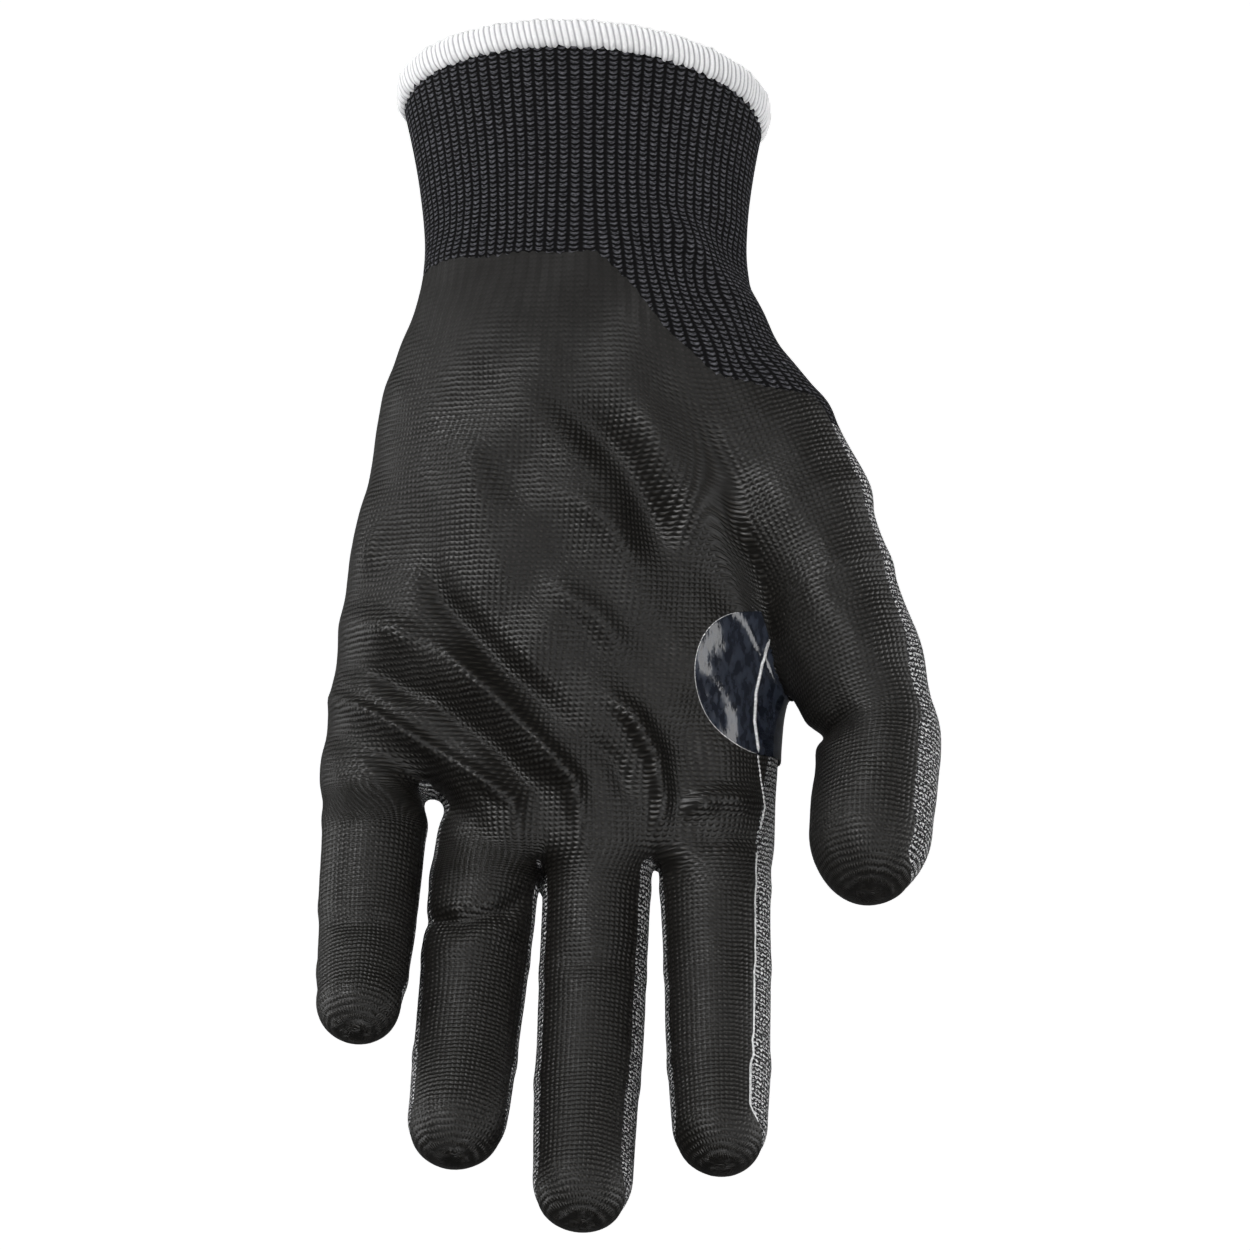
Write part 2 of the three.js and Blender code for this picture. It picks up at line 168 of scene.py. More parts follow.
FOLDS = [
    ([(-60, -127), (-33, -142.6), (-22, -149.5), (-14.4, -155), (-12.5, -166)], 1.8, 1.5),
    ([(-60, -133), (-34, -149), (-22, -157), (-17, -166)], -1.7, 3.2),
    ([(-60, -113), (-37.6, -120.6), (-26.6, -126.8), (-12, -140)], 1.9, 3.4),
    ([(-34, -121), (-18, -134.4), (-9.5, -143), (-2, -151), (0.5, -168)], 2.4, 2.1),
    ([(-58, -121), (-30, -134), (-19, -143), (-10, -152), (-7, -168)], -2.7, 3.2),
    ([(-36, -92), (-28, -114), (-15.6, -128), (-2, -140), (4, -152)], -1.9, 3.2),
    ([(-46, -84), (-44, -100), (-47, -113)], 1.3, 3.6),
    ([(1, -131), (10, -138), (14.4, -146), (16, -155), (14, -166)], 2.0, 2.1),
    ([(-2, -140), (6, -147), (10, -157)], -1.4, 2.4),
    ([(-11, -66), (8, -86), (15, -103), (21, -117)], -2.6, 4.2),
    ([(3, -66), (12, -79), (22, -94), (29, -107)], 1.6, 4.4),
    ([(-7, -90), (5, -99), (12.6, -110.5)], 1.3, 2.8),
    ([(-11, -109), (2.8, -118), (10, -128)], 1.3, 2.6),
    ([(-26, -74), (-22, -92), (-16, -106)], 1.3, 5.0),
    ([(10, -30), (20, -38), (29, -48), (36, -58)], 1.7, 3.2),
    ([(16, -27), (28, -38), (37, -52)], -1.0, 3.0),
    ([(17, -157.5), (27, -154), (38, -154.6)], 1.8, 2.3),
    ([(20, -164), (29, -162), (37, -162)], -1.2, 2.4),
    ([(-36, -176.5), (-25, -179.5), (-16, -177), (-9, -170)], -1.7, 1.8),
    ([(-33, -186), (-23, -184.5), (-14, -180), (-9, -175)], 0.8, 2.2),
    ([(-53, -179), (-44, -181), (-35, -180)], -0.8, 2.2),
    ([(-8, -186), (2, -188), (13, -186)], -0.8, 2.6),
    ([(43, -140), (49, -141.5), (56, -139)], -1.8, 2.2),
]
FOLD_TAPER = 0.36  # share of a fold's length over which each end fades
FOLD_REACH = 3.0  # half widths within which a fold is felt
FOLD_FRONT = (-2.0, 7.0)  # the folds fade out between these distances in front of the middle
CUFF_QUIET = (18.0, 42.0)  # and between these depths below the rim
FINGER_CALM = (145.0, 172.0)  # the ripples are weaker on the fingers
CALMED = 0.75
RIPPLES = [
    # height, wave numbers in x and z, phase
    (0.30, 0.21, 0.13, 0.4),
    (0.22, -0.16, 0.27, 1.9),
    (0.16, 0.39, -0.22, 3.1),
    (0.10, 0.55, 0.47, 5.0),
]

# Edges of the coating: how far the palm side's facing may fall before the coating stops, on the
# little finger's side and on the thumb's side of each digit

COAT_LIMITS = {
    "palm": (-0.15, 0.60),
    "little": (0.30, 0.30),
    "ring": (0.52, 0.40),
    "middle": (0.55, 0.68),
    "index": (0.48, 0.76),
    "thumb": (0.05, 0.78),
}
COAT_MERGE = 1.5  # mm over which one digit's limits turn into the next one's
COAT_SIDES = (-0.1, 0.35)  # the sideways facing between the two limits
COAT_TIP = (-13.0, -4.0)  # the coating closes round a tip within this distance of it
COAT_TIP_FACING = -0.2
COAT_STEEPNESS = 10.0
THIN_COURSES = (42, 76)  # the coating is thin over these courses, and the ribs show through
COAT_EDGE = [(-60, -42.5), (2, -43), (10, -50), (17, -60), (26, -68), (36, -71), (80, -72)]
EDGE_LINE = 0.22  # width of the painted highlight line at the index finger's edge, in mask units
EDGE_LINE_STOP = 9.0
EDGE_LINE_FACING = 0.3
EDGE_LINE_HEIGHTS = (0.05, -0.1)  # top and bottom over the coating
PATCH_CENTRE = (34.6, -130.2)
PATCH_HALF = (12.4, 14.4)
PATCH_LEAN = 0.10
PATCH_WRAP = 0.5  # on the crotch's side the patch reaches round it
PATCH_ONTO_THUMB = 1.5
PATCH_FULLNESS = 1.0
SEAM = [(37.9, -121.5), (35.6, -126), (34.2, -132), (33.8, -138), (34.6, -144.2)]
SEAM_TAIL = [(34.6, -144.2), (35.3, -150), (36.0, -155), (35.0, -160)]

# Skin grid

GRID_LOW = np.array([-57.0, -37.0, -248.0])
GRID_HIGH = np.array([77.0, 31.0, -42.0])
PITCH = 1.0
CHUNK = 400000
SLOPE_STEP = 0.15
NORMAL_STEP = 0.4
FACING_STEP = 1.2  # wide enough to pass over the folds
LEAST_SLOPE = 0.2
WALE_STEP = 5.0 * PITCH  # a jump in the wale count is always a whole number of these


def unit(v):
    v = np.asarray(v, float)
    return v / np.linalg.norm(v)


def unit_rows(v):
    return v / np.linalg.norm(v, axis=1)[:, None]


def smooth_min(a, b, k):
    h = np.clip(0.5 + 0.5 * (b - a) / k, 0, 1)
    return b * (1 - h) + a * h - k * h * (1 - h)


def smoothstep(x, low, high):
    t = np.clip((x - low) / (high - low), 0, 1)
    return t * t * (3 - 2 * t)


def softened(table):
    """The section table on an even z step, rounded where its rows meet."""
    order = np.argsort(table[:, 0])
    z = np.arange(table[:, 0].min(), table[:, 0].max(), SECTION_STEP)
    reach = int(3 * SECTION_SOFTNESS / SECTION_STEP)
    weights = np.exp(-0.5 * (np.arange(-reach, reach + 1) * SECTION_STEP / SECTION_SOFTNESS) ** 2)
    weights /= weights.sum()
    columns = []
    for column in table[order, 1:].T:
        line = np.interp(z, table[order, 0], column)
        padded = np.pad(line, reach, mode="edge")
        columns.append(np.convolve(padded, weights, mode="valid"))
    return z, columns


SECTION_Z, SECTION_COLUMNS = softened(SECTIONS)


def section_at(z):
    left, right, front, back, power = (np.interp(z, SECTION_Z, c) for c in SECTION_COLUMNS)
    return (left + right) / 2, (right - left) / 2, front, back, power


def lowered(p):
    """z as it would be without the rise of the web beside the little finger."""
    across = smoothstep(-p[:, 0], -WEB_SLOPE[0], -WEB_SLOPE[1])
    z = p[:, 2]
    for _ in range(2):
        down = np.clip((RISE_ROWS[0] - z) / (RISE_ROWS[0] - RISE_ROWS[1]), 0, 1)
        z = p[:, 2] - LITTLE_WEB_RISE * across * down
    return z


def palm_distance(p):
    z = lowered(p)
    centre, half, front, back, power = section_at(z)
    depth = np.where(p[:, 1] < 0, front, back)
    x = np.abs(p[:, 0] - centre) / half + 1e-6
    y = np.abs(p[:, 1]) / depth + 1e-6
    rho = (x**power + y**power) ** (1 / power)
    slope = rho ** (1 - power) * np.hypot(x ** (power - 1) / half, y ** (power - 1) / depth)
    side = (rho - 1) / np.maximum(slope, 1 / half)
    return -smooth_min(-side, z - WEB_Z, WEB_SOFTNESS)


def length_distance(p, length):
    """Distance to one length of a digit: an elliptical cone with rounded ends."""
    run = length["end"] - length["start"]
    size = np.linalg.norm(run)
    along = run / size
    across = unit(length["across"] - along * (length["across"] @ along))
    deep = np.cross(along, across)
    q = p - length["start"]
    s = q @ along
    t = np.clip(s / size, 0, 1)
    w = length["widths"][0] + (length["widths"][1] - length["widths"][0]) * t
    d = length["depths"][0] + (length["depths"][1] - length["depths"][0]) * t
    a, b, c = q @ across, q @ deep, s - t * size
    cap = np.where(s < 0, length["caps"][0], length["caps"][1])
    rho = np.sqrt((a / w) ** 2 + (b / d) ** 2 + (c / cap) ** 2) + 1e-6
    slope = np.sqrt((a / w**2) ** 2 + (b / d**2) ** 2 + (c / cap**2) ** 2) / rho
    return (rho - 1) / np.maximum(slope, 0.5 / w)


def joint_of(name):
    return next(j for j in frame["joints"] if j["name"] == name)


def digit_skeleton(name, shape):
    parts = THUMB_PARTS if name == "thumb" else FINGER_PARTS
    bends = {"proximal": "base", "middle": "middle", "distal": "tip"}
    joints = [joint_of(f"{name}_{bends[part]}_bend") for part in parts]
    folds = [np.array(j["pos_m"]) / MM for j in joints]
    hinge = unit(joints[0]["axis"])
    directions = [unit(b - a) for a, b in zip(folds, folds[1:])]
    reach, curl = shape["last"]
    turn = math.radians(curl)
    last = directions[-1]
    last = unit(last * math.cos(turn) + np.cross(hinge, last) * math.sin(turn))
    directions.append(last)
    dome = TIP_DOME * shape["widths"][-1]
    ends = folds[1:] + [folds[-1] + last * (reach - dome)]
    lengths = []
    for i, (start, end) in enumerate(zip(folds, ends)):
        tip = i == len(folds) - 1
        lengths.append(
            dict(
                start=start,
                end=end,
                across=-hinge,
                widths=shape["widths"][i : i + 2],
                depths=shape["depths"][i : i + 2],
                caps=(shape["depths"][i], dome if tip else shape["depths"][i + 1]),
            )
        )
    return dict(
        name=name,
        parts=parts,
        folds=folds,
        hinge=hinge,
        directions=directions,
        lengths=lengths,
        tip=folds[-1] + last * reach,
    )


def add_root(digit):
    """A finger's root runs a little way up into the palm."""
    first = digit["lengths"][0]
    up = unit(np.array([-digit["directions"][0][0], 0, 1]))
    top = digit["folds"][0] + up * ROOT_REACH
    w, d = first["widths"][0], first["depths"][0]
    digit["lengths"].insert(
        0,
        dict(
            start=top,
            end=digit["folds"][0],
            across=-digit["hinge"],
            widths=(w * ROOT_TAPER, w),
            depths=(d * ROOT_TAPER, d),
            caps=(d * ROOT_TAPER, d),
        ),
    )


def mound_lengths(thumb):
    splay = math.radians(THUMB_SPLAY)
    stations = []
    for centre, across, deep, roll in THUMB_MOUND:
        turn = math.radians(-roll)
        flat = np.array([math.cos(turn), math.sin(turn), 0])
        axis = np.array([flat[0] * math.cos(splay), flat[1], -flat[0] * math.sin(splay)])
        stations.append((np.array(centre, float), across, deep, axis))
    first = thumb["lengths"][0]
    stations.append((first["start"], first["widths"][0], first["depths"][0], -thumb["hinge"]))
    return [
        dict(
            start=a[0],
            end=b[0],
            across=a[3] + b[3],
            widths=(a[1], b[1]),
            depths=(a[2], b[2]),
            caps=(a[2], b[2]),
        )
        for a, b in zip(stations, stations[1:])
    ]


SKELETONS = {name: digit_skeleton(name, shape) for name, shape in DIGITS.items()}
MOUND = mound_lengths(SKELETONS["thumb"])
for digit_name, skeleton in SKELETONS.items():
    if digit_name != "thumb":
        add_root(skeleton)


def chain_distance(p, lengths, k):
    whole = length_distance(p, lengths[0])
    for length in lengths[1:]:
        whole = smooth_min(whole, length_distance(p, length), k)
    return whole


def fold_height(p):
    """How far the palm's folds lift the skin, on the palm side only."""
    lift = np.zeros(len(p))
    for points, height, width in FOLDS:
        points = np.array(points, float)
        steps = np.diff(points, axis=0)
        sizes = np.linalg.norm(steps, axis=1)
        starts = np.concatenate([[0], np.cumsum(sizes)])
        low = points.min(0) - FOLD_REACH * width
        high = points.max(0) + FOLD_REACH * width
        flat = p[:, [0, 2]]
        near = np.flatnonzero(((flat > low) & (flat < high)).all(1))
        if len(near) == 0:
            continue
        best = np.full(len(near), 1e9)
        where = np.zeros(len(near))
        for point, step, size, start in zip(points, steps, sizes, starts):
            q = flat[near] - point
            t = np.clip(q @ step / size**2, 0, 1)
            gap = np.linalg.norm(q - t[:, None] * step, axis=1)
            closer = gap < best
            best = np.where(closer, gap, best)
            where = np.where(closer, start + t * size, where)
        ends = np.minimum(where, starts[-1] - where)
        fade = smoothstep(ends, 0, FOLD_TAPER * starts[-1])
        lift[near] += height * fade * np.exp(-((best / width) ** 2))
    calm = 1 - CALMED * smoothstep(-p[:, 2], *FINGER_CALM)
    for height, kx, kz, phase in RIPPLES:
        lift += height * calm * np.sin(kx * p[:, 0] + kz * p[:, 2] + phase)
    quiet = smoothstep(-p[:, 2], *CUFF_QUIET)
    return lift * smoothstep(-p[:, 1], *FOLD_FRONT) * quiet


def distances(p):
    palm = palm_distance(p)
    mound = chain_distance(p, MOUND, KNUCKLE_SOFTNESS)
    digits = {
        name: chain_distance(p, skeleton["lengths"], KNUCKLE_SOFTNESS)
        for name, skeleton in SKELETONS.items()
    }
    return palm, mound, digits


def plain_skin(p):
    palm, mound, digits = distances(p)
    body = smooth_min(palm, mound, MOUND_SOFTNESS)
    whole = body
    for distance in digits.values():
        whole = np.minimum(whole, smooth_min(body, distance, ROOT_SOFTNESS))
    return whole


def skin(p):
    return plain_skin(p) - fold_height(p)


def slope_of(field, p, step=SLOPE_STEP):
    slope = np.empty_like(p)
    for axis in range(3):
        nudge = np.zeros(3)
        nudge[axis] = step
        slope[:, axis] = (field(p + nudge) - field(p - nudge)) / (2 * step)
    return slope


def settle(p, rounds=3):
    """Moves points onto the skin and returns them with the skin's normals."""
    for _ in range(rounds):
        slope = slope_of(skin, p)
        size = np.maximum((slope**2).sum(1), LEAST_SLOPE)
        p = p - (skin(p) / size)[:, None] * slope
    return p, unit_rows(slope_of(skin, p, NORMAL_STEP))


def skin_grid():
    counts = np.ceil((GRID_HIGH - GRID_LOW) / PITCH).astype(int) + 1
    axes = [low + PITCH * np.arange(n) for low, n in zip(GRID_LOW, counts)]
    points = np.stack(np.meshgrid(*axes, indexing="ij"), -1).reshape(-1, 3)
    values = np.concatenate([skin(points[i : i + CHUNK]) for i in range(0, len(points), CHUNK)])
    return values.reshape(counts)


def surface_nets(values):
    """Quads round every grid edge that the skin crosses, with one point in each crossed cell."""
    inside = values < 0
    corners = [(i, j, k) for i in (0, 1) for j in (0, 1) for k in (0, 1)]
    cells = np.array(values.shape) - 1

    def at(array, corner):
        return array[tuple(slice(c, c + n) for c, n in zip(corner, cells))]

    count = sum(at(inside, corner).astype(int) for corner in corners)
    crossed = (count > 0) & (count < 8)
    number = np.full(cells, -1)
    number[crossed] = np.arange(crossed.sum())
    total = np.zeros((*cells, 3))
    hits = np.zeros(cells)
    for a in corners:
        for axis in range(3):
            if a[axis]:
                continue
            b = tuple(c + (i == axis) for i, c in enumerate(a))
            va, vb = at(values, a), at(values, b)
            cut = (va < 0) != (vb < 0)
            t = np.where(cut, va / np.where(cut, va - vb, 1), 0)
            for i in range(3):
                total[..., i] += np.where(cut, a[i] + (t if i == axis else 0), 0)
            hits += cut
    places = np.stack(np.nonzero(crossed), -1) + total[crossed] / hits[crossed][:, None]
    faces = []
    for axis in range(3):
        u, v = (axis + 1) % 3, (axis + 2) % 3
        low = [slice(None)] * 3
        high = [slice(None)] * 3
        low[axis], high[axis] = slice(0, -1), slice(1, None)
        first, second = inside[tuple(low)], inside[tuple(high)]
        edge = np.stack(np.nonzero(first != second), -1)
        keep = (edge[:, u] > 0) & (edge[:, v] > 0)
        keep &= (edge[:, u] < cells[u]) & (edge[:, v] < cells[v])
        edge = edge[keep]
        outward = first[tuple(edge.T)]
        ring = []
        for du, dv in ((1, 1), (0, 1), (0, 0), (1, 0)):
            cell = edge.copy()
            cell[:, u] -= du
            cell[:, v] -= dv
            ring.append(number[tuple(cell.T)])
        ring = np.stack(ring, -1)
        faces.append(np.where(outward[:, None], ring, ring[:, ::-1]))
    return GRID_LOW + places * PITCH, np.concatenate(faces)


# Knit coordinates: wales round the cloth and courses along it


def carried_on(u, du, wales, front, edge):
    """A digit's wales, shifted whole steps to carry on the palm's, front and back apart."""
    sides = ((front, u, du), (~front, u % HAND_WALES, du % wales))
    for side, palm_wales, wales_here in sides:
        shared = side & edge
        if shared.any():
            gap = float(np.median((palm_wales - wales_here)[shared]))
            steps = round(gap / WALE_STEP)
            du = np.where(side, wales_here + steps * WALE_STEP, du)
    return du + HAND_WALES * np.round((u - du) / HAND_WALES)


def digit_counts(p, name, distance):
    """Wales round a digit and courses along it, blended where its lengths meet."""
    skeleton = SKELETONS[name]
    lengths = skeleton["lengths"][1:]
    base = -lowered(skeleton["folds"][0][None])[0]
    if name == "thumb":
        mound = MOUND[MOUND_START:]
        lengths = mound + skeleton["lengths"]
        base -= sum(np.linalg.norm(m["end"] - m["start"]) for m in mound)
    aside, ahead = np.zeros(len(p)), np.zeros(len(p))
    courses, total = np.zeros(len(p)), np.zeros(len(p))
    for length in lengths:
        run = length["end"] - length["start"]
        size = np.linalg.norm(run)
        along = run / size
        across = unit(length["across"] - along * (length["across"] @ along))
        deep = np.cross(along, across)
        q = p - length["start"]
        a, b = q @ across, q @ deep
        facing = -b * np.sign(deep[1])
        beyond = length_distance(p, length) - distance
        weight = np.exp(-np.clip(beyond, 0, 30)) + 1e-9
        reach = np.hypot(a, facing) + 1e-6
        aside += weight * a / reach
        ahead += weight * facing / reach
        courses += weight * (base + q @ along) / COURSE
        total += weight
        base += size
    return np.arctan2(aside, ahead) * DIGIT_WALES[name] / TAU, courses / total


def knit_coordinates(p):
    palm, mound, digits = distances(p)
    centre, half, front, back, _ = section_at(lowered(p))
    depth = np.where(p[:, 1] < 0, front, back)
    turn = np.arctan2(p[:, 0] - centre, -p[:, 1] * half / depth)
    u = turn * HAND_WALES / TAU
    v = -p[:, 2] / COURSE
    names = list(digits)
    near = np.stack([digits[n] for n in names], -1)
    nearest = near.argmin(1)
    for i, name in enumerate(names):
        du, dv = digit_counts(p, name, near[:, i])
        if name == "thumb":
            past = palm - np.minimum(mound, near[:, i])
            share = smoothstep(past, -THUMB_MERGE, THUMB_MERGE) * (nearest == i)
        else:
            top = SKELETONS[name]["folds"][0][2] + ROOT_MERGE[0]
            share = smoothstep(top - p[:, 2], 0, ROOT_MERGE[1]) * (nearest == i)
        edge = (share > 0.15) & (share < 0.85)
        du = carried_on(u, du, DIGIT_WALES[name], p[:, 1] < 0, edge)
        u = u * (1 - share) + du * share
        v = v * (1 - share) + dv * share
    return np.stack([u, v], -1)


# Masks: positive where the layer covers the liner


def coat_mask(p, normal):
    palm, mound, digits = distances(p)
    names = list(digits)
    stack = np.stack([np.minimum(palm, mound)] + [digits[n] for n in names], -1)
    weight = np.exp(-(stack - stack.min(1, keepdims=True)) / COAT_MERGE)
    weight /= weight.sum(1, keepdims=True)
    limits = np.array([COAT_LIMITS["palm"]] + [COAT_LIMITS[n] for n in names])
    left, right = (weight @ limits).T
    limit = left + (right - left) * smoothstep(normal[:, 0], *COAT_SIDES)
    for name in names:
        tip = SKELETONS[name]["tip"]
        close = smoothstep(-np.linalg.norm(p - tip, axis=1), *COAT_TIP)
        limit = limit - (limit - COAT_TIP_FACING) * close
    side = (-normal[:, 1] - limit) * COAT_STEEPNESS
    edge = np.array(COAT_EDGE, float)
    waver = 0.25 * np.sin(p[:, 0] * 0.4) + 0.35 * np.sin(p[:, 0] * 3.0 + 1)
    top = np.interp(p[:, 0], edge[:, 0], edge[:, 1]) + waver - p[:, 2]
    return np.minimum(side, top)


def patch_mask(p):
    palm, mound, digits = distances(p)
    x = p[:, 0] - PATCH_CENTRE[0]
    z = p[:, 2] - PATCH_CENTRE[1]
    x = x + PATCH_LEAN * z
    x = np.where(x > 0, PATCH_WRAP * x, x)
    ellipse = (1 - np.hypot(x / PATCH_HALF[0], z / PATCH_HALF[1])) * PATCH_HALF[0]
    thumb = np.minimum(mound, digits["thumb"]) - palm
    return np.minimum(ellipse, thumb + PATCH_ONTO_THUMB)


# Meshes


def clipped(verts, faces, mask, extras):
    """The part of a mesh where mask is positive, cut exactly along its edge, as triangles."""
    tris = faces
    if faces.shape[1] == 4:
        tris = np.concatenate([faces[:, [0, 1, 2]], faces[:, [0, 2, 3]]])
    positive = mask[tris] > 0
    count = positive.sum(1)
    whole = tris[count == 3]
    split = tris[(count == 1) | (count == 2)]
    inside = mask[split] > 0
    lone = np.where(inside.sum(1) == 1, inside.argmax(1), (~inside).argmax(1))
    rows = np.arange(len(split))
    a = split[rows, lone]
    b = split[rows, (lone + 1) % 3]
    c = split[rows, (lone + 2) % 3]
    pairs = np.concatenate([np.stack([a, b], -1), np.stack([a, c], -1)])
    key = np.sort(pairs, 1)
    unique, back = np.unique(key, axis=0, return_inverse=True)
    back = back.reshape(-1)
    ma, mb = mask[unique[:, 0]], mask[unique[:, 1]]
    t = np.clip(ma / (ma - mb), 0.02, 0.98)[:, None]
    fresh = [x[unique[:, 0]] * (1 - t) + x[unique[:, 1]] * t for x in (verts, *extras)]
    new = len(verts) + back
    ab, ac = new[: len(split)], new[len(split) :]
    keeps_one = mask[a] > 0
    parts = [whole, np.stack([a, ab, ac], -1)[keeps_one]]
    two = ~keeps_one
    parts.append(np.stack([ab, b, c], -1)[two])
    parts.append(np.stack([ab, c, ac], -1)[two])
    merged = [np.concatenate([x, y]) for x, y in zip((verts, *extras), fresh)]
    return merged, np.concatenate(parts)


def shell(verts, normals, knit, faces, top, base):
    """A closed layer from a skin patch: outer face, inner face and the rim between them."""
    width = faces.shape[1]
    used, index = np.unique(faces, return_inverse=True)
    faces = index.reshape(-1, width)
    verts, normals, knit = verts[used], normals[used], knit[used]
    n = len(verts)
    edges = np.concatenate([faces[:, [i, (i + 1) % width]] for i in range(width)])
    key = edges[:, 0].astype(np.int64) * n + edges[:, 1]
    opposite = edges[:, 1].astype(np.int64) * n + edges[:, 0]
    rim = edges[~np.isin(key, opposite)]
    outer = verts + normals * top
    inner = verts + normals * base
    points = np.concatenate([outer, inner])
    sides = np.stack([rim[:, 1], rim[:, 0], rim[:, 0] + n, rim[:, 1] + n], -1)
    polygons = [faces, faces[:, ::-1] + n, sides]
    return points, np.concatenate([normals, -normals]), np.concatenate([knit, knit]), polygons


def new_object(name, points, polygons, knit=None, normals=None, period=None):
    flat = [polygon.reshape(-1) for polygon in polygons]
    loops = np.concatenate(flat)
    totals = np.concatenate([np.full(len(p), p.shape[1]) for p in polygons])
    starts = np.concatenate([[0], np.cumsum(totals)[:-1]])
    mesh = bpy.data.meshes.new(name)
    mesh.vertices.add(len(points))
    mesh.vertices.foreach_set("co", (points * MM).astype(np.float32).ravel())
    mesh.loops.add(len(loops))
    mesh.loops.foreach_set("vertex_index", loops.astype(np.int32))
    mesh.polygons.add(len(totals))
    mesh.polygons.foreach_set("loop_start", starts.astype(np.int32))
    mesh.polygons.foreach_set("loop_total", totals.astype(np.int32))
    mesh.update(calc_edges=True)
    mesh.validate()
    mesh.shade_smooth()
    if knit is not None:
        uv = knit[loops].copy()
        if period:
            first = np.repeat(uv[starts, 0], totals)
            jump = uv[:, 0] - first
            uv[:, 0] -= period * np.round(jump / period)
        layer = mesh.uv_layers.new(name="knit")
        layer.data.foreach_set("uv", uv.astype(np.float32).ravel())
    if normals is not None:
        mesh.normals_split_custom_set_from_vertices(normals.tolist())
    obj = bpy.data.objects.new(name, mesh)
    bpy.context.scene.collection.objects.link(obj)
    return obj


# Materials


class Look:
    """A material with short ways to add nodes."""

    def __init__(self, name, **settings):
        self.material = bpy.data.materials.new(name)
        self.material.use_nodes = True
        self.tree = self.material.node_tree
        self.shader = self.tree.nodes["Principled BSDF"]
        for key, value in settings.items():
            self.shader.inputs[key].default_value = value
        self.uv = self.node("ShaderNodeUVMap", uv_map="knit").outputs[0]
        split = self.node("ShaderNodeSeparateXYZ")
        self.link(self.uv, split.inputs[0])
        self.u, self.v = split.outputs[0], split.outputs[1]

    def node(self, kind, **fields):
        made = self.tree.nodes.new(kind)
        for key, value in fields.items():
            setattr(made, key, value)
        return made

    def link(self, source, target):
        if isinstance(source, (int, float, tuple)):
            target.default_value = source
        else:
            self.tree.links.new(source, target)

    def math(self, operation, a, b=0.0, c=None):
        made = self.node("ShaderNodeMath", operation=operation)
        self.link(a, made.inputs[0])
        self.link(b, made.inputs[1])
        if c is not None:
            self.link(c, made.inputs[2])
        return made.outputs[0]

    def wave(self, value, cycles=1.0, phase=0.0):
        angle = self.math("MULTIPLY_ADD", value, TAU * cycles, phase)
        return self.math("MULTIPLY_ADD", self.math("COSINE", angle), 0.5, 0.5)

    def noise(self, scale, detail=2.0, stretch=(1.0, 1.0, 1.0)):
        scaled = self.node("ShaderNodeVectorMath", operation="MULTIPLY")
        self.link(self.uv, scaled.inputs[0])
        scaled.inputs[1].default_value = stretch
        made = self.node("ShaderNodeTexNoise")
        self.link(scaled.outputs[0], made.inputs["Vector"])
        made.inputs["Scale"].default_value = scale
        made.inputs["Detail"].default_value = detail
        return made.outputs[0]

    def ramp(self, value, low, high, out_low=0.0, out_high=1.0):
        made = self.node("ShaderNodeMapRange", interpolation_type="SMOOTHSTEP")
        for socket, number in zip(made.inputs[1:5], (low, high, out_low, out_high)):
            socket.default_value = number
        self.link(value, made.inputs[0])
        return made.outputs[0]

    def mix(self, share, dark, light):
        made = self.node("ShaderNodeMix", data_type="RGBA")
        self.link(share, made.inputs[0])
        self.link(dark, made.inputs[6])
        self.link(light, made.inputs[7])
        return made.outputs[2]

    def colour(self, socket):
        self.link(socket, self.shader.inputs["Base Color"])

    def rough(self, socket):
        self.link(socket, self.shader.inputs["Roughness"])

    def bump(self, height, distance, strength=1.0):
        made = self.node("ShaderNodeBump")
        made.inputs["Distance"].default_value = distance * MM
        made.inputs["Strength"].default_value = strength
        self.link(height, made.inputs["Height"])
        self.link(made.outputs[0], self.shader.inputs["Normal"])


def rgb(r, g, b):
    return (r, g, b, 1.0)


def stitch(look, sway=0.16):
    """Wavy courses with a dip between the wales."""
    swing = look.math("MULTIPLY", look.wave(look.u), sway)
    wander = look.math("MULTIPLY", look.noise(0.35, 2.0), 0.7)
    course = look.math("ADD", look.math("ADD", look.v, swing), wander)
    rows = look.wave(course)
    columns = look.wave(look.u, 1.0, math.pi)
    return look.math("MULTIPLY", rows, look.math("MULTIPLY_ADD", columns, 0.72, 0.28))


def coating_look():
    look = Look("coating_satin")
    look.shader.inputs["Specular IOR Level"].default_value = 0.26
    height = stitch(look)
    grain = look.noise(2.6, 3.0)
    worn = look.noise(0.07, 2.0)
    thin = look.ramp(look.v, *THIN_COURSES, 1.0, 0.0)
    patchy = look.ramp(grain, 0.3, 0.7, 0.4, 1.0)
    # Painted highlight: crest lightens the coating's colour on the crests of the courses,
    # patchily, and less where the coating is thin
    crest = look.math("MULTIPLY", look.ramp(height, 0.35, 0.95), patchy)
    crest = look.math("MULTIPLY", crest, look.math("MULTIPLY_ADD", thin, -0.8, 1.0))
    look.colour(look.mix(crest, rgb(0.0042, 0.0038, 0.0032), rgb(0.0205, 0.0187, 0.016)))
    rough = look.ramp(worn, 0.3, 0.7, 0.33, 0.46)
    look.rough(look.math("MULTIPLY_ADD", thin, 0.34, rough))
    ribs = look.wave(look.u, RIBS / HAND_WALES)
    ribs = look.math("MULTIPLY", ribs, look.math("MULTIPLY", thin, 0.75))
    rows = look.math("MULTIPLY", height, look.math("MULTIPLY_ADD", thin, -0.6, 1.0))
    relief = look.math("ADD", look.math("MULTIPLY_ADD", grain, 0.35, rows), ribs)
    look.bump(relief, 0.22, 0.85)
    return look.material


